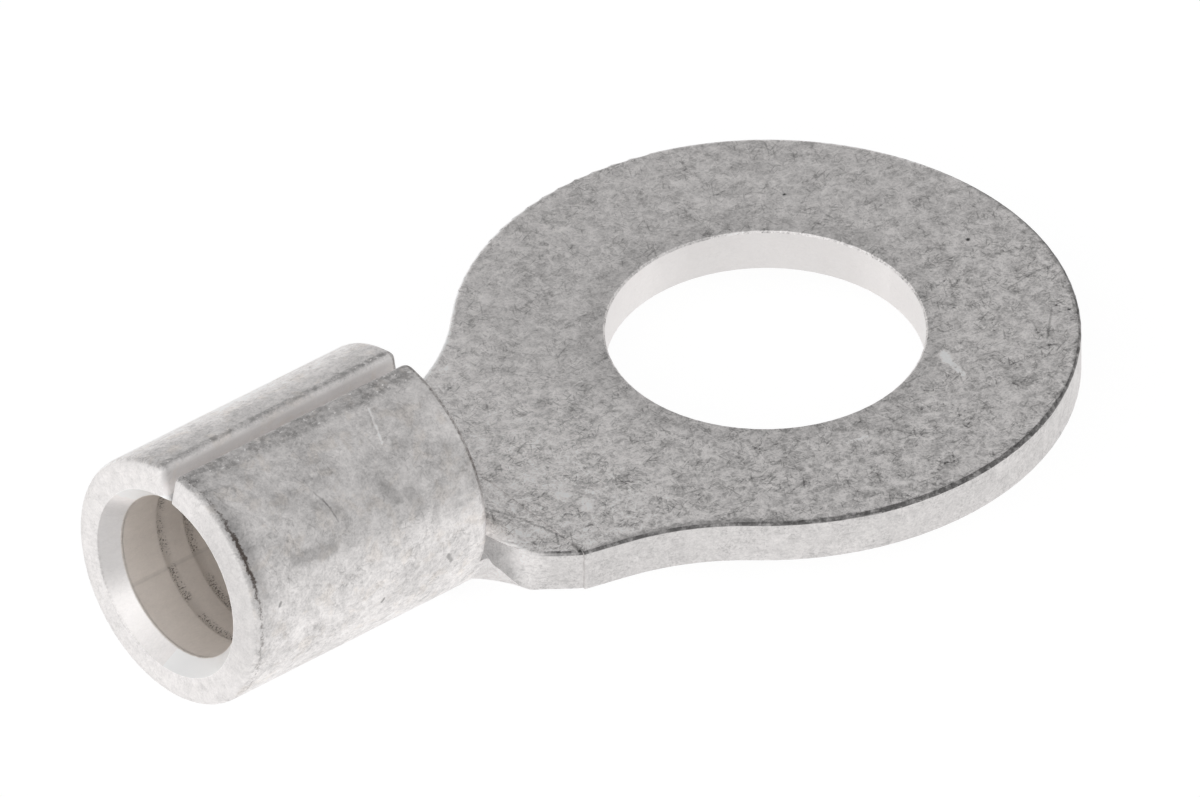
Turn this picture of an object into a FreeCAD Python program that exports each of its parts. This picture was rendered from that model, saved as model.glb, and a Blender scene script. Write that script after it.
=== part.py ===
import FreeCAD, Part
import math
import os

# Non-insulated ring terminal: one blank of sheet, stamped, then rolled into a wire barrel at one end.
# The stud hole's axis is the Z axis, the tongue's underside is z = 0, and the barrel points along -X.
# Sizes are in millimetres.

Vector = FreeCAD.Vector

# Ring and neck
SHEET_THICKNESS = 1.2
STUD_HOLE_DIAMETER = 8.4
RING_DIAMETER = 16.5
SHOULDER_RADIUS = 7.0
NECK_CORNER_WIDTH = 8.0
NECK_CORNER_OFFSET = 0.34
NECK_TAPER_DEG = 14.0
NECK_FLANK_LENGTH = 0.25
TOP_EDGE_ROLL = 0.1
HOLE_EDGE_BREAK = 0.05

# Wire barrel
BARREL_DIAMETER = 6.9
BARREL_LENGTH = 7.97
BARREL_AXIS_HEIGHT = 2.74
SEAM_TURN_DEG = 1.7
SEAM_FLARE_DEG = 10.0
SEAM_GAP = 0.05
SEAM_LIP_RADIUS = 0.2
MOUTH_SLANT_ACROSS = 0.055
MOUTH_SLANT_UP = 0.05
MOUTH_RIM_ROUNDING = 0.25
REAR_RIM_ROUNDING = 0.25
MOUTH_CHAMFER_WIDTH = 0.39
MOUTH_CHAMFER_DEPTH = 0.52

# Grip grooves across the bore, from the mouth
GROOVE_COUNT = 3
GROOVE_START = 1.62
GROOVE_PITCH = 0.85
GROOVE_WIDTH = 0.3
GROOVE_DEPTH = 0.1

# Root, where the flat sheet curls up; its stations stand this far ahead of the barrel's rear
NECK_CORNER_SETBACK = 2.4
ROLL_START_SETBACK = 1.6
ROLL_END_SETBACK = 0.25
NOTCH_SETBACK = 0.8
NOTCH_WIDTH = 5.9
NOTCH_SOFTNESS = 0.1
WING_FILLET = 0.5
SINK_LEAD = 3

# How the root is laid over the neck and the barrel's wall, and how finely it follows the curl
ROOT_OVERLAP = 0.6
ROOT_INSET = 0.01
EDGE_ROLL_STRIPS = 2
SECTION_POINTS = 17
ROOT_STATIONS = 24
NEARLY_FLAT = 1e-6
TOUCH = 1e-3

# Derived sizes
half_thickness = SHEET_THICKNESS / 2
hole_radius = STUD_HOLE_DIAMETER / 2
ring_radius = RING_DIAMETER / 2
outer_radius = BARREL_DIAMETER / 2
bore_radius = outer_radius - SHEET_THICKNESS
middle_radius = outer_radius - half_thickness
barrel_drop = BARREL_AXIS_HEIGHT - outer_radius
taper = math.radians(NECK_TAPER_DEG)

# The far shoulder touches the ring and ends in the far flank, whose far end is the neck's corner
shoulder_reach = ring_radius + SHOULDER_RADIUS
far_corner_y = NECK_CORNER_WIDTH / 2 - NECK_CORNER_OFFSET
far_flank_y = far_corner_y + NECK_FLANK_LENGTH * math.sin(taper)
shoulder_centre_y = far_flank_y + SHOULDER_RADIUS * math.cos(taper)
shoulder_centre_x = -math.sqrt(shoulder_reach ** 2 - shoulder_centre_y ** 2)
far_flank_x = shoulder_centre_x + SHOULDER_RADIUS * math.sin(taper)
neck_corner_x = far_flank_x - NECK_FLANK_LENGTH * math.cos(taper)

# Places along X that follow from the neck's corner
barrel_rear_x = neck_corner_x - NECK_CORNER_SETBACK
mouth_x = barrel_rear_x - BARREL_LENGTH
roll_start_x = barrel_rear_x + ROLL_START_SETBACK
roll_end_x = barrel_rear_x + ROLL_END_SETBACK
notch_x = barrel_rear_x + NOTCH_SETBACK


def smooth_step(t):
    t = min(max(t, 0.0), 1.0)
    return t * t * (3 - 2 * t)


def rolled_share(x):
    """0 where the sheet is still flat, 1 where it has the barrel's full curve."""
    return max(smooth_step((roll_start_x - x) / (roll_start_x - roll_end_x)), NEARLY_FLAT)


def sheet_point(x, s, offset):
    """Point on the sheet at x, with s along its section and offset up from its middle layer.

    The sheet sinks towards the barrel's floor a little ahead of its curl.
    """
    share = rolled_share(x)
    sunk = 1 - (1 - share) ** SINK_LEAD
    curvature = share / middle_radius
    angle = s * curvature
    y = math.sin(angle) / curvature - offset * math.sin(angle)
    rise = (1 - math.cos(angle)) / curvature + offset * math.cos(angle)
    return Vector(x, y, half_thickness + sunk * barrel_drop + rise)


def shoulder(hand):
    """Points along one side of the neck: its corner, and the shoulder arc's ends and middle."""
    along = Vector(math.cos(taper), math.sin(taper), 0)
    outward = Vector(-math.sin(taper), math.cos(taper), 0)
    corner = Vector(neck_corner_x, NECK_CORNER_WIDTH / 2 - hand * NECK_CORNER_OFFSET, 0)
    start = corner + outward * SHOULDER_RADIUS
    half_b = start.dot(along)
    half_chord = math.sqrt(half_b ** 2 - start.dot(start) + shoulder_reach ** 2)
    centre = start - along * (half_b + half_chord)
    neck_end = centre - outward * SHOULDER_RADIUS
    ring_end = centre * (ring_radius / shoulder_reach)
    to_neck = (neck_end - centre).normalize()
    to_ring = (ring_end - centre).normalize()
    middle = centre + (to_neck + to_ring).normalize() * SHOULDER_RADIUS
    return [Vector(p.x, hand * p.y, 0) for p in (corner, neck_end, middle, ring_end)]


def plate_outline():
    """Closed outline of the ring and the neck, up to the neck's corners."""
    corner, neck_end, middle, ring_end = shoulder(1)
    far_corner, far_neck_end, far_middle, far_ring_end = shoulder(-1)
    tip = Vector(ring_radius, 0, 0)
    edges = [
        Part.makeLine(far_corner, corner),
        Part.makeLine(corner, neck_end),
        Part.Arc(neck_end, middle, ring_end).toShape(),
        Part.Arc(ring_end, tip, far_ring_end).toShape(),
        Part.Arc(far_ring_end, far_middle, far_neck_end).toShape(),
        Part.makeLine(far_neck_end, far_corner),
    ]
    return Part.Wire(edges)


def is_border(edge):
    """True for an edge of the plate's top face, apart from the one where the root takes over."""
    on_top = min(v.Point.z for v in edge.Vertexes) > half_thickness
    return on_top and edge.BoundBox.XLength > TOUCH


def is_hole_rim(edge):
    """True for the stud hole's upper rim."""
    if edge.Curve.TypeId != "Part::GeomCircle" or edge.CenterOfMass.z < half_thickness:
        return False
    return abs(edge.Curve.Radius - hole_radius) < TOUCH


def make_plate():
    """The flat ring with its stud hole, and the neck."""
    plate = Part.Face(plate_outline()).extrude(Vector(0, 0, SHEET_THICKNESS))
    plate = plate.makeFillet(TOP_EDGE_ROLL, [e for e in plate.Edges if is_border(e)])
    plate = plate.cut(Part.makeCylinder(hole_radius, SHEET_THICKNESS))
    return plate.makeChamfer(HOLE_EDGE_BREAK, [e for e in plate.Edges if is_hole_rim(e)])


def root_half_width(x):
    """Half width of the blank at x: it narrows to the notch, then flares into the wings."""
    notch_half = NOTCH_WIDTH / 2
    narrowing = NECK_CORNER_WIDTH / 2 - notch_half
    t = (x - notch_x) / (neck_corner_x - notch_x)
    soft_t = (math.hypot(t, NOTCH_SOFTNESS) - math.hypot(t - 1, NOTCH_SOFTNESS) + 1) / 2
    flare = WING_FILLET * smooth_step((barrel_rear_x + WING_FILLET - x) / WING_FILLET)
    return notch_half + narrowing * soft_t + flare - ROOT_INSET


def neck_offset(x):
    """How far the section at x is set over to the -Y side, fading out towards the barrel."""
    return NECK_CORNER_OFFSET * max((x - barrel_rear_x) / NECK_CORNER_SETBACK, 0.0)


def root_stations():
    """Places along X of the root's sections, from inside the neck to inside the barrel's wall."""
    start = neck_corner_x + ROOT_OVERLAP
    end = barrel_rear_x - ROOT_OVERLAP
    return [start + (end - start) * i / ROOT_STATIONS for i in range(ROOT_STATIONS + 1)]


def root_skin(edge_inset, offset):
    """One face of the root's sheet, stopping edge_inset short of the blank's edges."""
    shares = [2 * j / (SECTION_POINTS - 1) - 1 for j in range(SECTION_POINTS)]
    grid = []
    for x in root_stations():
        half = root_half_width(x) - edge_inset
        grid.append([sheet_point(x, half * share - neck_offset(x), offset) for share in shares])
    skin = Part.BSplineSurface()
    skin.interpolate(grid)
    return skin


def root_edge_line(hand, edge_inset, offset):
    """A line along the root, edge_inset in from the blank's edge on one side."""
    points = []
    for x in root_stations():
        s = hand * (root_half_width(x) - edge_inset) - neck_offset(x)
        points.append(sheet_point(x, s, offset))
    curve = Part.BSplineCurve()
    curve.interpolate(points)
    return curve.toShape()


def rolled_edge_lines(hand, inner_offset):
    """Lines that carry the root's sheared side and its rolled upper edge, between the two skins."""
    lines = []
    for k in range(EDGE_ROLL_STRIPS):
        turn = math.radians(90) * k / EDGE_ROLL_STRIPS
        inset = TOP_EDGE_ROLL * (1 - math.cos(turn))
        lines.append(root_edge_line(hand, inset, inner_offset - TOP_EDGE_ROLL * (1 - math.sin(turn))))
    return lines


def make_root():
    """The stretch where the flat sheet curls up, with its upper edges rolled over."""
    skin_offset = half_thickness - ROOT_INSET
    lower = root_skin(0, -skin_offset)
    upper = root_skin(TOP_EDGE_ROLL, skin_offset)
    faces = [lower.toShape(), upper.toShape()]
    neck_end = [lower.uIso(lower.bounds()[0]).toShape(), upper.uIso(upper.bounds()[0]).toShape()]
    barrel_end = [lower.uIso(lower.bounds()[1]).toShape(), upper.uIso(upper.bounds()[1]).toShape()]
    for hand, side in ((-1, 2), (1, 3)):
        lines = rolled_edge_lines(hand, skin_offset)
        lines.insert(0, lower.vIso(lower.bounds()[side]).toShape())
        lines.append(upper.vIso(upper.bounds()[side]).toShape())
        for one, other in zip(lines, lines[1:]):
            faces.extend(Part.makeLoft([Part.Wire(one), Part.Wire(other)], False, True).Faces)
            neck_end.append(Part.makeLine(one.Vertexes[0].Point, other.Vertexes[0].Point))
            barrel_end.append(Part.makeLine(one.Vertexes[1].Point, other.Vertexes[1].Point))
    for ends in (neck_end, barrel_end):
        faces.append(Part.Face(Part.Wire(Part.__sortEdges__(ends))))
    shell = Part.makeShell(faces)
    shell.sewShape()
    solid = Part.makeSolid(shell)
    if solid.Volume < 0:
        solid.reverse()
    return solid


def barrel_section():
    """Closed section of the barrel: a rolled wall whose flat ends butt at the top.

    The seam is turned a little to the far (+Y) side.
    """
    flare = math.radians(SEAM_FLARE_DEG)
    flat = (bore_radius * math.sin(flare) - SEAM_GAP / 2) / math.cos(flare)

    def at(radius, past_tangent, hand):
        y = radius * math.sin(flare) - past_tangent * math.cos(flare)
        z = radius * math.cos(flare) + past_tangent * math.sin(flare)
        return Vector(barrel_rear_x, hand * y, BARREL_AXIS_HEIGHT + z)

    outer_floor = Vector(barrel_rear_x, 0, BARREL_AXIS_HEIGHT - outer_radius)
    bore_floor = Vector(barrel_rear_x, 0, BARREL_AXIS_HEIGHT - bore_radius)
    edges = [
        Part.Arc(at(outer_radius, 0, 1), outer_floor, at(outer_radius, 0, -1)).toShape(),
        Part.makeLine(at(outer_radius, 0, -1), at(outer_radius, flat, -1)),
        Part.makeLine(at(outer_radius, flat, -1), at(bore_radius, flat, -1)),
        Part.makeLine(at(bore_radius, flat, -1), at(bore_radius, 0, -1)),
        Part.Arc(at(bore_radius, 0, -1), bore_floor, at(bore_radius, 0, 1)).toShape(),
        Part.makeLine(at(bore_radius, 0, 1), at(bore_radius, flat, 1)),
        Part.makeLine(at(bore_radius, flat, 1), at(outer_radius, flat, 1)),
        Part.makeLine(at(outer_radius, flat, 1), at(outer_radius, 0, 1)),
    ]
    section = Part.Face(Part.Wire(edges))
    section.rotate(Vector(barrel_rear_x, 0, BARREL_AXIS_HEIGHT), Vector(1, 0, 0), -SEAM_TURN_DEG)
    return section


def from_axis(point):
    """Distance of a point from the barrel's axis."""
    return math.hypot(point.y, point.z - BARREL_AXIS_HEIGHT)


def is_lip(edge):
    """True for the two outer edges along the seam."""
    box = edge.BoundBox
    lengthwise = box.XLength > TOUCH and box.YLength < TOUCH and box.ZLength < TOUCH
    return lengthwise and from_axis(edge.CenterOfMass) > outer_radius + TOUCH


def on_rim(edge, centre, facing):
    """True for an edge of the barrel's outer outline in the end face through centre."""
    points = [v.Point for v in edge.Vertexes]
    in_plane = all(abs((p - centre).dot(facing)) < TOUCH for p in points)
    return in_plane and all(from_axis(p) > middle_radius for p in points)


def make_groove(x):
    """Ring with a V section, base inwards, that cuts one grip groove into the bore at x."""
    base_z = BARREL_AXIS_HEIGHT + bore_radius - GROOVE_DEPTH
    tip_z = BARREL_AXIS_HEIGHT + bore_radius + GROOVE_DEPTH
    corners = [Vector(x - GROOVE_WIDTH, 0, base_z), Vector(x, 0, tip_z), Vector(x + GROOVE_WIDTH, 0, base_z)]
    section = Part.Face(Part.makePolygon(corners + corners[:1]))
    return section.revolve(Vector(x, 0, BARREL_AXIS_HEIGHT), Vector(1, 0, 0), 360)


def make_barrel():
    """The wire barrel with its rounded seam lips and rims, flared mouth and grip grooves.

    The mouth is not quite square to the barrel: it stands back at the near (-Y) side and at the top.
    """
    rear_centre = Vector(barrel_rear_x, 0, BARREL_AXIS_HEIGHT)
    mouth_centre = Vector(mouth_x, 0, BARREL_AXIS_HEIGHT)
    toward_tongue = Vector(1, 0, 0)
    into_mouth = Vector(1, MOUTH_SLANT_ACROSS, -MOUTH_SLANT_UP).normalize()
    barrel = barrel_section().extrude(Vector(-BARREL_LENGTH - BARREL_DIAMETER, 0, 0))
    barrel = barrel.cut(Part.makeCylinder(BARREL_DIAMETER, 2 * BARREL_DIAMETER, mouth_centre, -into_mouth))
    barrel = barrel.makeFillet(SEAM_LIP_RADIUS, [e for e in barrel.Edges if is_lip(e)])
    mouth_rim = [e for e in barrel.Edges if on_rim(e, mouth_centre, into_mouth)]
    barrel = barrel.makeFillet(MOUTH_RIM_ROUNDING, mouth_rim)
    rear_rim = [e for e in barrel.Edges if on_rim(e, rear_centre, toward_tongue)]
    barrel = barrel.makeFillet(REAR_RIM_ROUNDING, rear_rim)
    flare_radius = bore_radius + MOUTH_CHAMFER_WIDTH
    flare = Part.makeCone(flare_radius, bore_radius, MOUTH_CHAMFER_DEPTH, mouth_centre, into_mouth)
    barrel = barrel.cut(flare)
    for i in range(GROOVE_COUNT):
        barrel = barrel.cut(make_groove(mouth_x + GROOVE_START + i * GROOVE_PITCH))
    return barrel


terminal = make_plate().fuse(make_root()).fuse(make_barrel())
os.makedirs("parts", exist_ok=True)
terminal.exportStep("parts/ring_terminal.step")
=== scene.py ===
import math
from types import SimpleNamespace

import bpy
from mathutils import Matrix, Vector


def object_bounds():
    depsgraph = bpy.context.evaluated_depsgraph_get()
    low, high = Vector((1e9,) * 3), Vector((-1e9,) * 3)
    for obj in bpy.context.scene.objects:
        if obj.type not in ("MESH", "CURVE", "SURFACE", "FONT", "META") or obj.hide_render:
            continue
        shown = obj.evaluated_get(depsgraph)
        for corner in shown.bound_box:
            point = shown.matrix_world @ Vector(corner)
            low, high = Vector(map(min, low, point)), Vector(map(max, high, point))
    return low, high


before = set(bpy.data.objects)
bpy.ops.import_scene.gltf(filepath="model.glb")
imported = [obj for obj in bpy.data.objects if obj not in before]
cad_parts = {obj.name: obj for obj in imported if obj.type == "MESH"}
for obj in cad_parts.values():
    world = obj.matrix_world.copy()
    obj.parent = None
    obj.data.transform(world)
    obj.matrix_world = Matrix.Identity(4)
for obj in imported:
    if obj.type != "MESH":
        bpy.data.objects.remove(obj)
cad_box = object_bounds()

# One millimetre in metres
MM = 0.001

# Sizes of the terminal that the looks follow, in millimetres
SHEET = 1.2
RING_RADIUS = 8.25
HOLE_RADIUS = 4.2
OUTER_RADIUS = 3.45
AXIS_Z = 2.74
BARREL_REAR_X = -12.0
MOUTH_X = -19.97
MOUTH_SLANT_ACROSS = 0.055
MOUTH_SLANT_UP = 0.05
CHAMFER_DEPTH = 0.52
CHAMFER_RADIUS = 2.64
SEAM_Y = 0.10
SEAM_HALF_WIDTH = 0.24
GROOVES_X = (-18.35, -17.50)

# The neck's two concave shoulders: arc centre (x, y), and x where the arc meets the ring
SHOULDER_RADIUS = 7.0
NEAR_SHOULDER = (-10.096, -11.430, -5.462)
FAR_SHOULDER = (-11.048, 10.513, -5.977)

# Places round the barrel, from its top: the seam lips in millimetres, the others as turns in radians
NEAR_LIP_AROUND = -0.46
FAR_LIP_AROUND = 0.52
DARKEST_RIM_TURN = -0.88
BORE_CREASE_TURN = 2.2
FLARE_EDGE_TURN = 2.3
# Depth of the dark line at the mouth's rim, in millimetres
RIM_LINE_DEPTH = 0.27
# Radians that the barrel's dim band turns in one millimetre along it
DIM_BAND_TWIST = 0.0233
# Direction from the stud hole's centre, from +X towards +Y, in which its wall gets no painted light and
# looks dullest
SHADED_WALL_TURN = math.radians(51.3)
# Half width of the soft border between two regions, in millimetres
SOFT = 0.02

# Colours: plain tin, tin with copper showing through, and dirt
PLAIN = (0.80, 0.778, 0.770, 1.0)
WARM = (0.78, 0.725, 0.675, 1.0)
DIRT = (0.11, 0.09, 0.08, 1.0)
# Middle roughness of the tin, and the height of its relief in metres
ROUGHNESS = 0.55
BUMP_HEIGHT = 0.00004
# Directions of the short dark and light scuffs, in degrees
STREAK_DARK_ANGLES = (8, 47, 83, 121, 158)
STREAK_LIGHT_ANGLES = (25, 66, 104, 140, 175)

# Single marks and painted highlights on the tongue's top: ends (x, y, x, y), half width, and tone at the
# mark
TOP_MARKS_AND_HIGHLIGHTS = (
    # Painted highlights on two small dents
    (2.95, -3.75, 2.80, -4.05, 0.10, 1.50),
    (2.82, -4.25, 2.75, -4.75, 0.07, 1.55),
    (-1.40, -5.10, -0.88, -5.20, 0.05, 1.35),
    (5.99, -2.70, 6.80, -2.58, 0.025, 0.72),
    (6.80, -2.58, 7.63, -2.65, 0.02, 0.75),
    (6.30, -4.10, 5.43, -4.98, 0.025, 0.72),
    (-0.15, -5.38, 0.10, -5.85, 0.02, 0.76),
    (0.10, -5.85, 0.43, -6.12, 0.02, 0.76),
    # Dark streaks where the root starts to rise
    (-10.40, -1.27, -10.15, -1.75, 0.035, 0.74),
    (-10.15, -1.75, -9.96, -2.17, 0.03, 0.72),
    (-9.96, -2.17, -9.65, -3.24, 0.03, 0.70),
    (-9.65, -3.24, -9.87, -3.61, 0.025, 0.66),
    (-9.60, -3.90, -9.62, -4.40, 0.05, 0.55),
    # Painted light along the band where the root starts to rise
    (-10.75, -1.70, -10.20, -3.00, 0.07, 1.12),
)
# Single marks on the barrel: ends (x, distance round from the top), half width, and tone at the mark
BARREL_MARKS = (
    (-13.98, -0.98, -14.28, -2.01, 0.025, 1.28),
    (-15.45, -6.12, -15.52, -6.22, 0.03, 0.50),
    (-18.80, -4.58, -18.86, -4.66, 0.03, 0.55),
    (-13.38, -5.70, -13.26, -5.95, 0.05, 0.62),
    (-16.62, -2.59, -16.46, -3.28, 0.02, 0.72),
    (-16.75, -2.35, -16.52, -2.90, 0.02, 0.75),
    (-14.20, -3.45, -14.05, -4.00, 0.16, 0.84),
    (-17.78, -2.10, -17.60, -2.40, 0.16, 0.84),
    (-16.90, -2.65, -16.40, -2.95, 0.15, 0.84),
    (-14.85, -3.05, -14.60, -3.45, 0.15, 0.82),
    (-18.05, -3.70, -16.90, -3.88, 0.16, 0.80),
)
# Small black pits in the tongue's top: x, y, radius
TOP_PITS = ((6.53, -0.40, 0.045), (4.05, 4.16, 0.04), (6.51, -4.05, 0.03), (6.67, -4.39, 0.04))
PIT_LENGTH = 0.01
PIT_TONE = 0.12

# Camera of the photograph
CAMERA_AZIMUTH = math.radians(-38.7)
CAMERA_ELEVATION = math.radians(37.76)
CAMERA_ROLL = math.radians(-0.55)
CAMERA_DISTANCE = 792.0
PIXELS_PER_MM = 38.30
IMAGE_WIDTH = 1200
IMAGE_HEIGHT = 797
SENSOR_WIDTH = 36.0
HOLE_PIXEL = (765.5, 329.4)

# How bright the surroundings are: in front, low behind, higher behind, overhead and at the left
FRONT_LEVEL = 0.42
BACKDROP_LEVEL = 1.0
DIM_LEVEL = 0.37
CEILING_LEVEL = 0.66
LEFT_LEVEL = 1.0
WHITE = (1.0, 1.0, 1.0, 1.0)

# White floor: the colour that lights the terminal, then the faint colour and the glow that are seen
FLOOR_HALF = 2.0
FLOOR_COLOUR = (0.9, 0.9, 0.9, 1.0)
FLOOR_SHADOW_COLOUR = (0.14, 0.14, 0.14, 1.0)
FLOOR_GLOW = 0.91

# Where both lamps point, and each lamp's place, size and power, in metres and watts
LAMP_TARGET = Vector((-0.006, 0, 0))
FRONT_LAMP = ((-0.25, -0.30, 0.30), 0.4, 0.3)
RIGHT_LAMP = ((0.30, -0.30, 0.25), 0.4, 0.20)


def add_camera():
    """The camera looks along the photograph's line of sight, with the stud hole at its pixel."""
    az, el, roll = CAMERA_AZIMUTH, CAMERA_ELEVATION, CAMERA_ROLL
    back = Vector((math.sin(az) * math.cos(el), -math.cos(az) * math.cos(el), math.sin(el)))
    level_right = Vector((0, 0, 1)).cross(back).normalized()
    level_up = back.cross(level_right)
    right = level_right * math.cos(roll) + level_up * math.sin(roll)
    up = level_up * math.cos(roll) - level_right * math.sin(roll)
    across = (HOLE_PIXEL[0] - IMAGE_WIDTH / 2) / PIXELS_PER_MM
    above = (IMAGE_HEIGHT / 2 - HOLE_PIXEL[1]) / PIXELS_PER_MM
    place = Vector((0, 0, SHEET)) - right * across - up * above + back * CAMERA_DISTANCE
    data = bpy.data.cameras.new("camera")
    data.sensor_width = SENSOR_WIDTH
    data.lens = PIXELS_PER_MM * CAMERA_DISTANCE * SENSOR_WIDTH / IMAGE_WIDTH
    data.clip_start = 0.01
    data.clip_end = 100.0
    camera = bpy.data.objects.new("camera", data)
    turn = Matrix((right, up, back)).transposed().to_4x4()
    camera.matrix_world = Matrix.Translation(place * MM) @ turn
    bpy.context.scene.collection.objects.link(camera)
    bpy.context.scene.camera = camera


class Graph:
    """Short ways to add shader nodes to one node tree."""

    def __init__(self, tree):
        self.tree = tree
        self.tree.nodes.clear()

    def node(self, kind, inputs=None, **settings):
        made = self.tree.nodes.new(kind)
        for name, value in settings.items():
            setattr(made, name, value)
        for name, value in (inputs or {}).items():
            self.put(made.inputs[name], value)
        return made

    def put(self, socket, value):
        if isinstance(value, bpy.types.NodeSocket):
            self.tree.links.new(value, socket)
        else:
            socket.default_value = value

    def math(self, operation, a, b=0.0, clamp=False):
        made = self.node("ShaderNodeMath", operation=operation, use_clamp=clamp)
        self.put(made.inputs[0], a)
        self.put(made.inputs[1], b)
        return made.outputs[0]

    def add(self, a, b):
        return self.math("ADD", a, b)

    def subtract(self, a, b):
        return self.math("SUBTRACT", a, b)

    def times(self, *values):
        """Product of the values. Of masks, it is 1 where all of them are."""
        result = values[0]
        for value in values[1:]:
            result = self.math("MULTIPLY", result, value)
        return result

    def most(self, *masks):
        """The largest value. Of masks, it is 1 where any of them is."""
        result = masks[0]
        for mask in masks[1:]:
            result = self.math("MAXIMUM", result, mask)
        return result

    def invert(self, mask):
        return self.subtract(1.0, mask)

    def length(self, a, b):
        return self.math("SQRT", self.add(self.times(a, a), self.times(b, b)))

    def vector(self, operation, a, b):
        made = self.node("ShaderNodeVectorMath", operation=operation)
        self.put(made.inputs[0], a)
        self.put(made.inputs[1], b)
        return made.outputs[0]

    def split(self, vector):
        made = self.node("ShaderNodeSeparateXYZ", {"Vector": vector})
        return made.outputs[0], made.outputs[1], made.outputs[2]

    def join(self, x, y, z):
        return self.node("ShaderNodeCombineXYZ", {"X": x, "Y": y, "Z": z}).outputs[0]

    def change(self, value, low, high, start, end):
        """Smooth change from start to end as value goes from low to high."""
        made = self.node("ShaderNodeMapRange", interpolation_type="SMOOTHSTEP")
        for socket, item in zip(made.inputs, (value, low, high, start, end)):
            self.put(socket, item)
        return made.outputs[0]

    def rise(self, value, low, high):
        return self.change(value, low, high, 0.0, 1.0)

    def fall(self, value, low, high):
        return self.change(value, low, high, 1.0, 0.0)

    def band(self, value, centre, half, soft):
        """1 within half of centre, falling to 0 over soft."""
        away = self.math("ABSOLUTE", self.subtract(value, centre))
        return self.fall(away, half, half + soft)

    def segment(self, point, start, end, half):
        """1 on the straight line from start to end, falling to 0 past half a width from it."""
        along = Vector(end) - Vector(start)
        offset = self.vector("SUBTRACT", point, start)
        made = self.node("ShaderNodeVectorMath", operation="DOT_PRODUCT")
        self.put(made.inputs[0], offset)
        self.put(made.inputs[1], along / along.length_squared)
        share = self.math("ADD", made.outputs["Value"], 0.0, clamp=True)
        foot = self.node("ShaderNodeVectorMath", operation="SCALE")
        self.put(foot.inputs[0], along)
        self.put(foot.inputs["Scale"], share)
        away = self.node("ShaderNodeVectorMath", operation="DISTANCE")
        self.put(away.inputs[0], offset)
        self.put(away.inputs[1], foot.outputs[0])
        return self.fall(away.outputs["Value"], 0.5 * half, 1.8 * half)

    def noise(self, vector, scale, detail=2.0, rough=0.5, warp=0.0):
        inputs = {"Vector": vector, "Scale": scale, "Detail": detail, "Roughness": rough, "Distortion": warp}
        return self.node("ShaderNodeTexNoise", inputs).outputs["Fac"]

    def centred(self, pattern, amount):
        """A pattern of noise about 0 in place of one half, times an amount."""
        return self.times(self.subtract(pattern, 0.5), amount)

    def blend(self, amount, a, b):
        made = self.node("ShaderNodeMix", data_type="FLOAT")
        self.put(made.inputs[0], amount)
        self.put(made.inputs[2], a)
        self.put(made.inputs[3], b)
        return made.outputs[0]

    def toned(self, tone, mask, level):
        """The tone, times a level where the mask is 1."""
        return self.times(tone, self.blend(mask, 1.0, level))

    def blend_vector(self, amount, a, b):
        made = self.node("ShaderNodeMix", data_type="VECTOR")
        self.put(made.inputs[0], amount)
        self.put(made.inputs[4], a)
        self.put(made.inputs[5], b)
        return made.outputs[1]

    def scaled(self, colour, factor):
        made = self.node("ShaderNodeMix", data_type="RGBA", blend_type="MULTIPLY")
        self.put(made.inputs[0], 1.0)
        self.put(made.inputs[6], colour)
        self.put(made.inputs[7], factor)
        return made.outputs[2]

    def tint(self, amount, a, b):
        made = self.node("ShaderNodeMix", data_type="RGBA")
        self.put(made.inputs[0], amount)
        self.put(made.inputs[6], a)
        self.put(made.inputs[7], b)
        return made.outputs[2]


# Below, g is the Graph of a material, and s holds what is known of each point of its surface
def edge_gap(g, s, shoulder):
    """Distance from the tongue's outline, inwards, on the shoulder's side."""
    centre_x, centre_y, meet_x = shoulder
    ring_gap = g.subtract(RING_RADIUS, s.from_stud)
    reach = g.length(g.subtract(s.x, centre_x), g.subtract(s.y, centre_y))
    neck_gap = g.subtract(reach, SHOULDER_RADIUS)
    return g.blend(g.rise(s.x, meet_x - 0.05, meet_x + 0.05), neck_gap, ring_gap)


def streaks(g, laid, angles, length, width, low, high, seed):
    """Short straight marks in several directions, each kind in its own patches."""
    marks = []
    for i, angle in enumerate(angles):
        turned = g.node("ShaderNodeMapping", {
            "Vector": laid,
            "Location": (seed + 3.7 * i, 1.9 * seed, 0.0),
            "Rotation": (0, 0, math.radians(angle)),
        }).outputs[0]
        stretched = g.vector("MULTIPLY", turned, (1 / length, 1 / width, 1 / width))
        marks.append(g.rise(g.noise(stretched, scale=1.0, detail=1.0), low, high))
    return g.most(*marks)


def read_surface(g):
    """Each point's place and normal, and its radius, turn and depth in the barrel."""
    s = SimpleNamespace()
    s.place = g.vector("MULTIPLY", g.node("ShaderNodeTexCoord").outputs["Object"], (1 / MM, 1 / MM, 1 / MM))
    s.x, s.y, z = g.split(s.place)
    s.from_stud = g.length(s.x, s.y)
    s.up = g.subtract(z, AXIS_Z)
    s.radius = g.length(s.y, s.up)
    s.turn = g.math("ARCTAN2", s.y, s.up)
    s.around = g.times(s.turn, OUTER_RADIUS)
    square_depth = g.subtract(s.x, MOUTH_X)
    across_depth = g.add(square_depth, g.times(s.y, MOUTH_SLANT_ACROSS))
    s.depth = g.subtract(across_depth, g.times(s.up, MOUTH_SLANT_UP))
    s.normal = g.node("ShaderNodeNewGeometry").outputs["Normal"]
    s.nx, s.ny, s.nz = g.split(s.normal)
    s.steep = g.math("ABSOLUTE", s.nz)
    return s


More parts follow.
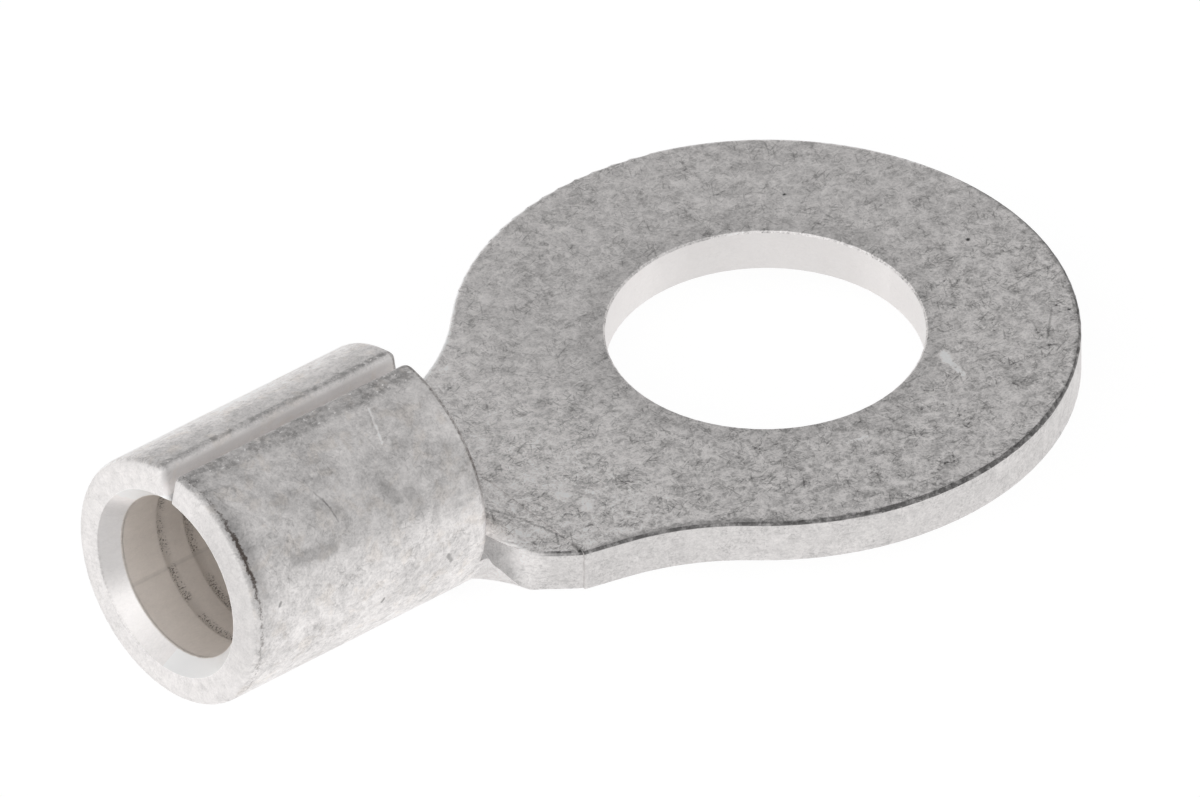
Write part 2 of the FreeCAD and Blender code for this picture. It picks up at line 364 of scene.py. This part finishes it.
def find_regions(g, s):
    """Adds masks to s, each 1 on one region of the surface."""
    s.on_barrel = g.fall(s.x, BARREL_REAR_X - SOFT, BARREL_REAR_X + SOFT)
    off_barrel = g.invert(s.on_barrel)
    s.inside = g.times(s.on_barrel, g.fall(s.radius, CHAMFER_RADIUS - SOFT, CHAMFER_RADIUS + SOFT))
    s.bore = g.times(s.inside, g.rise(s.depth, CHAMFER_DEPTH - 0.05, CHAMFER_DEPTH))
    s.chamfer = g.times(s.inside, g.invert(s.bore))
    facing_out = g.fall(s.nx, -0.75, -0.5)
    s.mouth_face = g.times(facing_out, g.fall(s.depth, 0.3, 0.35), g.invert(s.inside))
    s.outside = g.times(s.on_barrel, g.invert(s.inside), g.invert(s.mouth_face))
    in_seam = g.times(g.rise(s.up, 2.0, 2.2), g.fall(s.radius, 3.30, 3.40))
    s.seam = g.times(s.outside, in_seam, g.band(s.y, SEAM_Y, SEAM_HALF_WIDTH, 0.08))
    s.face = g.times(off_barrel, g.rise(s.steep, 0.75, 0.95))
    s.on_top = g.times(off_barrel, g.rise(s.nz, 0.1, 0.4))
    s.sheared = g.times(off_barrel, g.fall(s.steep, 0.25, 0.6))
    s.hole_wall = g.times(s.sheared, g.fall(s.from_stud, HOLE_RADIUS + 0.1, HOLE_RADIUS + 0.3))
    past_hole = g.rise(s.from_stud, HOLE_RADIUS + 0.3, HOLE_RADIUS + 0.4)
    s.rolled = g.times(off_barrel, past_hole, g.rise(s.nz, 0.12, 0.4), g.fall(s.nz, 0.94, 0.995))
    s.curled = g.times(off_barrel, g.rise(s.x, -10.2, -10.9), g.fall(s.steep, 0.97, 0.995))
    s.smooth_part = g.most(s.seam, s.bore, s.chamfer, s.hole_wall)


def lay_patterns(g, s):
    """Adds patterns to s. They lie along the surface: on the barrel they follow it round."""
    s.laid = g.blend_vector(s.on_barrel, s.place, g.join(s.x, s.around, s.radius))
    s.cloud = g.noise(s.laid, scale=1.0, detail=3.0, rough=0.6)
    s.blotch = g.noise(s.laid, scale=2.6, detail=4.0, rough=0.65, warp=0.5)
    s.flake = g.noise(s.laid, scale=7.0, detail=3.0, rough=0.6, warp=0.6)
    s.grain = g.noise(s.laid, scale=16.0, detail=2.0, rough=0.6)
    s.ragged = g.subtract(g.noise(s.laid, scale=6.0, detail=3.0, rough=0.65), 0.5)
    s.fleck = g.rise(g.noise(s.laid, scale=11.0, detail=3.0, rough=0.7), 0.42, 0.58)
    dark = streaks(g, s.laid, STREAK_DARK_ANGLES, length=0.50, width=0.07, low=0.60, high=0.72, seed=5.0)
    s.dark_marks = g.times(dark, g.blend(s.on_barrel, 1.0, 0.45))
    light = streaks(g, s.laid, STREAK_LIGHT_ANGLES, length=0.42, width=0.06, low=0.60, high=0.74, seed=11.0)
    s.light_marks = g.times(light, g.blend(s.on_barrel, 0.18, 0.10))


def mottled_tone(g, s):
    """Tone of each point, as a share of the plain metal's reflectance: blotches, flakes and scuffs."""
    fine = g.add(g.centred(s.grain, 0.55), g.centred(s.flake, 0.75))
    broad = g.add(g.centred(s.blotch, 1.0), g.centred(s.cloud, g.blend(s.outside, 0.35, 0.75)))
    patches = g.rise(g.noise(s.laid, scale=1.6), 0.40, 0.60)
    hairline = g.band(g.noise(s.laid, scale=1.9, detail=2.5, rough=0.55, warp=0.4), 0.5, 0.006, 0.018)
    hairline = g.times(hairline, g.rise(g.noise(s.laid, scale=0.9, detail=1.0), 0.50, 0.62))
    marks = g.subtract(s.light_marks, g.times(s.dark_marks, patches, 0.28))
    marks = g.subtract(marks, g.times(hairline, 0.20))
    mottle = g.add(g.add(fine, broad), marks)
    strengths = (
        (s.smooth_part, 0.15), (s.outside, 0.75), (s.face, g.change(s.y, 3.0, -3.0, 1.0, 1.40)),
        (s.mouth_face, 0.35), (g.most(s.sheared, s.curled), 0.50),
    )
    for region, strength in strengths:
        mottle = g.toned(mottle, region, strength)
    brightest = g.math("MAXIMUM", mottle, 0.0)
    mottle = g.subtract(mottle, g.times(brightest, brightest, 0.8))
    return g.add(1.0, mottle)


def tone_tongue(g, s, tone):
    """Darker ring round the stud hole, paler neck, and the tongue's upper edges.

    The rolled edge has a painted dark reflection on the near and right sides,
    with a dark fringe of the same painted reflection beside it on the top.
    The far side has a thin painted highlight along its border.
    """
    tone = g.toned(tone, g.times(s.face, g.band(s.from_stud, HOLE_RADIUS, 0.3, 0.7)), 0.90)
    tone = g.toned(tone, g.times(s.face, g.rise(s.x, -5.0, -8.0)), 1.12)
    # Painted dark reflection on the rolled edge, on the sides that face the near side
    wander = g.centred(g.noise(s.laid, scale=5.0), 0.8)
    facing_near = g.fall(g.add(s.ny, wander), 0.0, 0.35)
    thick = g.rise(g.noise(s.laid, scale=3.0, detail=4.0, rough=0.7), 0.36, 0.58)
    near_edge_painted_reflection = g.times(s.rolled, g.invert(s.curled), facing_near, g.blend(thick, 0.35, 1.0))
    tone = g.toned(tone, near_edge_painted_reflection, 0.30)
    # Painted dark reflection as a fringe on the top beside the near edge, wider towards the neck
    near_side = g.times(g.fall(s.y, 0.5, 3.0), g.rise(s.x, -9.5, -8.9))
    uneven = g.centred(g.noise(s.laid, scale=7.0, detail=3.0, rough=0.7), 0.30)
    fringe_width = g.change(s.x, -6.0, -3.0, 0.30, 0.15)
    reach = g.math("DIVIDE", g.add(edge_gap(g, s, NEAR_SHOULDER), uneven), fringe_width)
    tone = g.toned(tone, g.times(s.on_top, near_side, g.fall(reach, 0.4, 1.1)), 0.68)
    # Painted highlight: a thin pale border along the far edge
    far_edge_painted_highlight = g.times(s.on_top, g.rise(s.y, 1.0, 3.0), g.fall(edge_gap(g, s, FAR_SHOULDER), 0.06, 0.15))
    return g.toned(tone, g.times(far_edge_painted_highlight, g.rise(s.x, -11.0, -9.8)), 1.35)


def tone_lips(g, s, tone):
    """Speckled dark bands along the two seam lips, with bright flecks."""
    speckle = g.change(g.noise(s.laid, scale=6.0, detail=4.0, rough=0.7), 0.40, 0.60, 0.30, 1.0)
    speckle = g.times(speckle, g.change(g.noise(s.laid, scale=1.5), 0.35, 0.60, 0.45, 1.0))
    near_lip = g.band(s.around, NEAR_LIP_AROUND, 0.20, 0.20)
    far_lip = g.band(s.around, FAR_LIP_AROUND, 0.04, 0.10)
    lips = g.times(s.outside, g.invert(s.seam), g.most(near_lip, far_lip))
    tone = g.toned(tone, g.times(lips, speckle), 0.58)
    bright = g.times(lips, g.rise(g.noise(s.laid, scale=9.0, detail=1.0), 0.66, 0.72))
    return g.add(tone, g.times(bright, 0.45))


def rim_dirt(g, s):
    """Dark ragged line where the mouth's rim meets the outside, and a thinner one at the barrel's rear."""
    uneven_depth = g.add(s.depth, g.times(s.ragged, 0.30))
    from_rim = g.math("ABSOLUTE", g.subtract(uneven_depth, RIM_LINE_DEPTH))
    from_rim = g.subtract(from_rim, g.blend(s.darkest_rim, 0.0, 0.045))
    from_rim = g.add(from_rim, g.times(g.invert(s.fleck), 0.03))
    rim = g.times(s.on_barrel, g.invert(s.inside), g.fall(from_rim, 0.0, 0.07))
    rim = g.times(rim, g.band(s.turn, -1.1, 0.95, 0.35))
    rim = g.times(rim, g.blend(s.darkest_rim, 0.55, 0.95), g.blend(s.darkest_rim, s.fleck, 1.0))
    uneven_x = g.add(s.x, g.times(s.ragged, 0.10))
    rear = g.times(s.outside, g.band(uneven_x, BARREL_REAR_X - 0.08, 0.06, 0.06))
    rear = g.times(rear, g.band(s.turn, -0.55, 0.55, 0.35), g.blend(s.fleck, 0.45, 1.0))
    return g.most(rim, g.times(rear, 0.75))


def tone_mouth(g, s, tone):
    """Soft shade beside the mouth's dark rim, the bore, and the line where the flare meets the face.

    The bore has a faint lengthwise crease in painted shade, painted light above it, and painted shade that
    dims it further in.
    """
    rim_shade = g.times(s.outside, g.band(s.depth, 0.35, 0.06, 0.45), g.band(s.turn, -0.85, 0.30, 1.0))
    tone = g.toned(tone, rim_shade, g.blend(s.darkest_rim, 0.86, 0.68))
    # Painted crease in the bore: a faint line of shade, with painted light above it
    tone = g.toned(tone, g.times(s.bore, g.band(s.turn, BORE_CREASE_TURN, 0.012, 0.025)), 0.90)
    up_to_crease = g.fall(s.turn, BORE_CREASE_TURN - 0.01, BORE_CREASE_TURN + 0.01)
    tone = g.toned(tone, g.times(s.bore, g.rise(s.turn, 1.9, 2.15), up_to_crease), 1.06)
    tone = g.toned(tone, g.times(s.bore, g.rise(s.radius, 2.27, 2.32)), 0.96)
    # Painted shade, deeper in the bore
    deep_bore_shade = g.times(s.bore, g.rise(s.depth, 0.6, 2.6))
    tone = g.times(tone, g.blend(deep_bore_shade, 1.04, 0.89))
    flare_edge = g.times(s.on_barrel, g.band(s.radius, CHAMFER_RADIUS, 0.01, 0.05), s.fleck)
    flare_edge = g.times(flare_edge, g.fall(s.depth, 0.10, 0.15), g.band(s.turn, FLARE_EDGE_TURN, 0.5, 0.3))
    return g.toned(tone, flare_edge, 0.86)


def bore_dots(g, s):
    """Dark speckles in the bore, along the grooves that grip the wire."""
    arcs = g.most(*(g.band(s.x, groove_x, 0.05, 0.12) for groove_x in GROOVES_X))
    dots = g.rise(g.noise(s.laid, scale=17.0, detail=2.0, rough=0.6), 0.53, 0.60)
    return g.times(s.bore, arcs, dots, g.rise(g.noise(s.laid, scale=1.4, detail=1.0), 0.34, 0.46))


def add_marks_and_highlights(g, s, tone):
    """Single scratches, scuffs, pits and painted highlights, at the places where the photograph shows them.
    """
    uneven_x = g.add(s.x, g.times(s.ragged, 0.12))
    top_place = g.join(uneven_x, g.add(s.y, g.times(s.ragged, 0.15)), 0.0)
    barrel_place = g.join(g.add(s.x, g.times(s.ragged, 0.10)), s.around, 0.0)
    for region, place, marks in ((s.on_top, top_place, TOP_MARKS_AND_HIGHLIGHTS), (s.outside, barrel_place, BARREL_MARKS)):
        for x1, y1, x2, y2, half, level in marks:
            mark = g.segment(place, (x1, y1, 0), (x2, y2, 0), half)
            tone = g.toned(tone, g.times(region, mark), level)
    for x, y, pit_radius in TOP_PITS:
        pit = g.segment(top_place, (x, y, 0), (x, y + PIT_LENGTH, 0), pit_radius)
        tone = g.toned(tone, g.times(s.on_top, pit), PIT_TONE)
    return tone


def paint_region_light(g, s, tone):
    """Painted light and shade: how bright each region of the surface is as a whole, with lit and shaded
    parts.
    """
    side = g.times(s.sheared, g.invert(s.hole_wall), g.invert(s.curled))
    # Painted light on the hole wall, away from the direction where it is left in shade
    wall_cos = math.cos(SHADED_WALL_TURN) / HOLE_RADIUS
    wall_sin = math.sin(SHADED_WALL_TURN) / HOLE_RADIUS
    wall_share = g.add(g.times(s.x, wall_cos), g.times(s.y, wall_sin))
    # Painted shade on the curled root's outer edge by the barrel, and painted light on its upper side
    faces_out = g.rise(g.times(s.ny, g.math("SIGN", s.y)), 0.1, 0.3)
    shaded_curled_edge = g.times(s.curled, faces_out, g.rise(s.x, -10.7, -11.2), g.rise(s.nz, 0.05, 0.2))
    lit_curled_top = g.times(s.curled, g.invert(faces_out), g.rise(s.nz, 0.3, 0.5))
    # Painted light and shade per region: sides, hole wall, curled root, chamfer, mouth face, barrel and seam
    painted_light_levels = (
        (s.face, 0.90),
        (side, 0.87),
        (g.times(side, g.rise(s.nx, 0.5, 0.9)), 1.08),
        (s.hole_wall, 0.95),
        (g.times(s.hole_wall, g.fall(wall_share, 0.60, 0.95)), 1.15),
        (s.curled, 1.20),
        (lit_curled_top, 1.45),
        (shaded_curled_edge, 0.66),
        (s.chamfer, 1.16),
        (g.times(s.chamfer, g.fall(s.turn, 0.9, 1.2)), 1.14),
        (g.times(s.chamfer, g.band(s.turn, 1.55, 0.35, 0.50)), 0.68),
        (s.mouth_face, 1.05),
        (g.times(s.mouth_face, g.band(s.turn, -1.2, 0.4, 0.7)), 0.86),
        (s.outside, 0.96),
        (g.times(s.outside, g.rise(s.turn, -1.5, -1.9)), 1.07),
        (g.times(s.outside, g.rise(s.turn, 0.25, 0.55)), 1.20),
        (g.times(s.seam, g.rise(s.radius, 3.25, 2.75)), 1.30),
    )
    for region, level in painted_light_levels:
        tone = g.toned(tone, region, level)
    return tone


def tone_dim_band(g, s, tone):
    """Darker mottled band along the near side of the barrel, with a paler part below it."""
    lower = g.add(s.turn, g.times(g.subtract(s.x, MOUTH_X), DIM_BAND_TWIST))
    lower = g.add(lower, g.centred(s.cloud, 0.5))
    dim_band = g.times(s.outside, g.rise(lower, -1.16, -1.02), g.fall(lower, -0.75, -0.35))
    return g.toned(tone, dim_band, g.change(s.x, -18.5, -17.0, 0.96, 0.85))


def surface_bump(g, s):
    """Fine relief of the scuffed tin. In the bore, the shading leaves the shallow grooves out."""
    height = g.add(g.times(s.blotch, 0.4), g.times(s.flake, 0.4))
    height = g.add(height, g.times(s.grain, 0.5))
    height = g.subtract(height, g.times(s.dark_marks, 0.25))
    inward_scale = g.times(s.radius, -1.0)
    inward = g.join(0.0, g.math("DIVIDE", s.y, inward_scale), g.math("DIVIDE", s.up, inward_scale))
    inputs = {
        "Strength": g.blend(s.smooth_part, 0.5, 0.08),
        "Distance": BUMP_HEIGHT,
        "Height": height,
        "Normal": g.blend_vector(s.bore, s.normal, inward),
    }
    return g.node("ShaderNodeBump", inputs).outputs[0]


def tin_plating():
    """Matt tin over copper, tumbled: mottled faces, pale sheared sides, dark lines on some edges, painted
    light and shade.
    """
    material = bpy.data.materials.new("tin_plating")
    material.use_nodes = True
    g = Graph(material.node_tree)
    s = read_surface(g)
    find_regions(g, s)
    lay_patterns(g, s)
    s.darkest_rim = g.band(s.turn, DARKEST_RIM_TURN, 0.10, 0.45)
    tone = mottled_tone(g, s)
    for step in (tone_tongue, tone_lips, tone_mouth, add_marks_and_highlights, paint_region_light, tone_dim_band):
        tone = step(g, s, tone)

    brownish = g.rise(g.noise(s.laid, scale=1.7, detail=3.0, rough=0.6, warp=0.5), 0.52, 0.66)
    colour = g.tint(g.most(s.bore, g.times(s.outside, brownish, 0.35)), PLAIN, WARM)
    colour = g.scaled(colour, g.join(tone, tone, tone))
    colour = g.tint(g.most(rim_dirt(g, s), g.times(bore_dots(g, s), 0.8)), colour, DIRT)
    inputs = {
        "Base Color": colour,
        "Metallic": g.blend(s.curled, g.blend(g.most(s.bore, s.seam), 1.0, 0.30), 0.05),
        "Roughness": g.add(ROUGHNESS, g.centred(s.blotch, 0.3)),
        "Normal": surface_bump(g, s),
    }
    metal = g.node("ShaderNodeBsdfPrincipled", inputs)
    g.node("ShaderNodeOutputMaterial", {"Surface": metal.outputs[0]})
    return material


def seen_directly(g, others=()):
    """1 for rays straight from the camera, and for the other kinds of ray named."""
    path = g.node("ShaderNodeLightPath")
    return g.most(*(path.outputs[name] for name in ("Is Camera Ray", *others)))


def add_floor(lowest):
    """White floor that shows pure white, apart from the object's shadow."""
    mesh = bpy.data.meshes.new("floor")
    corners = [(x * FLOOR_HALF, y * FLOOR_HALF, lowest) for x, y in ((-1, -1), (1, -1), (1, 1), (-1, 1))]
    mesh.from_pydata(corners, [], [(0, 1, 2, 3)])
    floor = bpy.data.objects.new("floor", mesh)
    bpy.context.scene.collection.objects.link(floor)
    material = bpy.data.materials.new("white_floor")
    material.use_nodes = True
    g = Graph(material.node_tree)
    matt = g.node("ShaderNodeBsdfDiffuse", {"Color": FLOOR_COLOUR})
    faint = g.node("ShaderNodeBsdfDiffuse", {"Color": FLOOR_SHADOW_COLOUR})
    glow = g.node("ShaderNodeEmission", {"Color": WHITE, "Strength": FLOOR_GLOW})
    seen_floor = g.node("ShaderNodeAddShader")
    g.put(seen_floor.inputs[0], faint.outputs[0])
    g.put(seen_floor.inputs[1], glow.outputs[0])
    mixed = g.node("ShaderNodeMixShader")
    g.put(mixed.inputs[0], seen_directly(g, ("Is Glossy Ray", "Is Transmission Ray")))
    g.put(mixed.inputs[1], matt.outputs[0])
    g.put(mixed.inputs[2], seen_floor.outputs[0])
    g.node("ShaderNodeOutputMaterial", {"Surface": mixed.outputs[0]})
    mesh.materials.append(material)


def add_world():
    """White low down behind and at the left, dimmer above it where the flat top reflects, grey in front."""
    world = bpy.data.worlds.new("surroundings")
    bpy.context.scene.world = world
    world.use_nodes = True
    g = Graph(world.node_tree)
    x, y, z = g.split(g.node("ShaderNodeTexCoord").outputs["Generated"])
    low = g.fall(z, 0.10, 0.40)
    high = g.rise(z, 0.70, 0.95)
    behind = g.rise(y, -0.35, 0.25)
    rear = g.blend(low, g.blend(high, DIM_LEVEL, CEILING_LEVEL), BACKDROP_LEVEL)
    level = g.blend(behind, FRONT_LEVEL, rear)
    level = g.blend(g.rise(x, -0.15, -0.65), level, LEFT_LEVEL)
    level = g.blend(seen_directly(g), level, 1.0)
    light = g.node("ShaderNodeBackground", {"Color": WHITE, "Strength": level})
    g.node("ShaderNodeOutputWorld", {"Surface": light.outputs[0]})


def add_lamp(name, place, size, power):
    """Square soft lamp that faces the terminal's middle."""
    data = bpy.data.lights.new(name, "AREA")
    data.size = size
    data.energy = power
    lamp = bpy.data.objects.new(name, data)
    lamp.location = place
    lamp.rotation_euler = (Vector(place) - LAMP_TARGET).to_track_quat("Z", "Y").to_euler()
    bpy.context.scene.collection.objects.link(lamp)


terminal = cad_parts["ring_terminal"]
terminal.data.materials.clear()
terminal.data.materials.append(tin_plating())
add_camera()
add_floor(cad_box[0].z)
add_world()
add_lamp("front_lamp", *FRONT_LAMP)
add_lamp("right_lamp", *RIGHT_LAMP)
bpy.context.scene.view_settings.view_transform = "Standard"
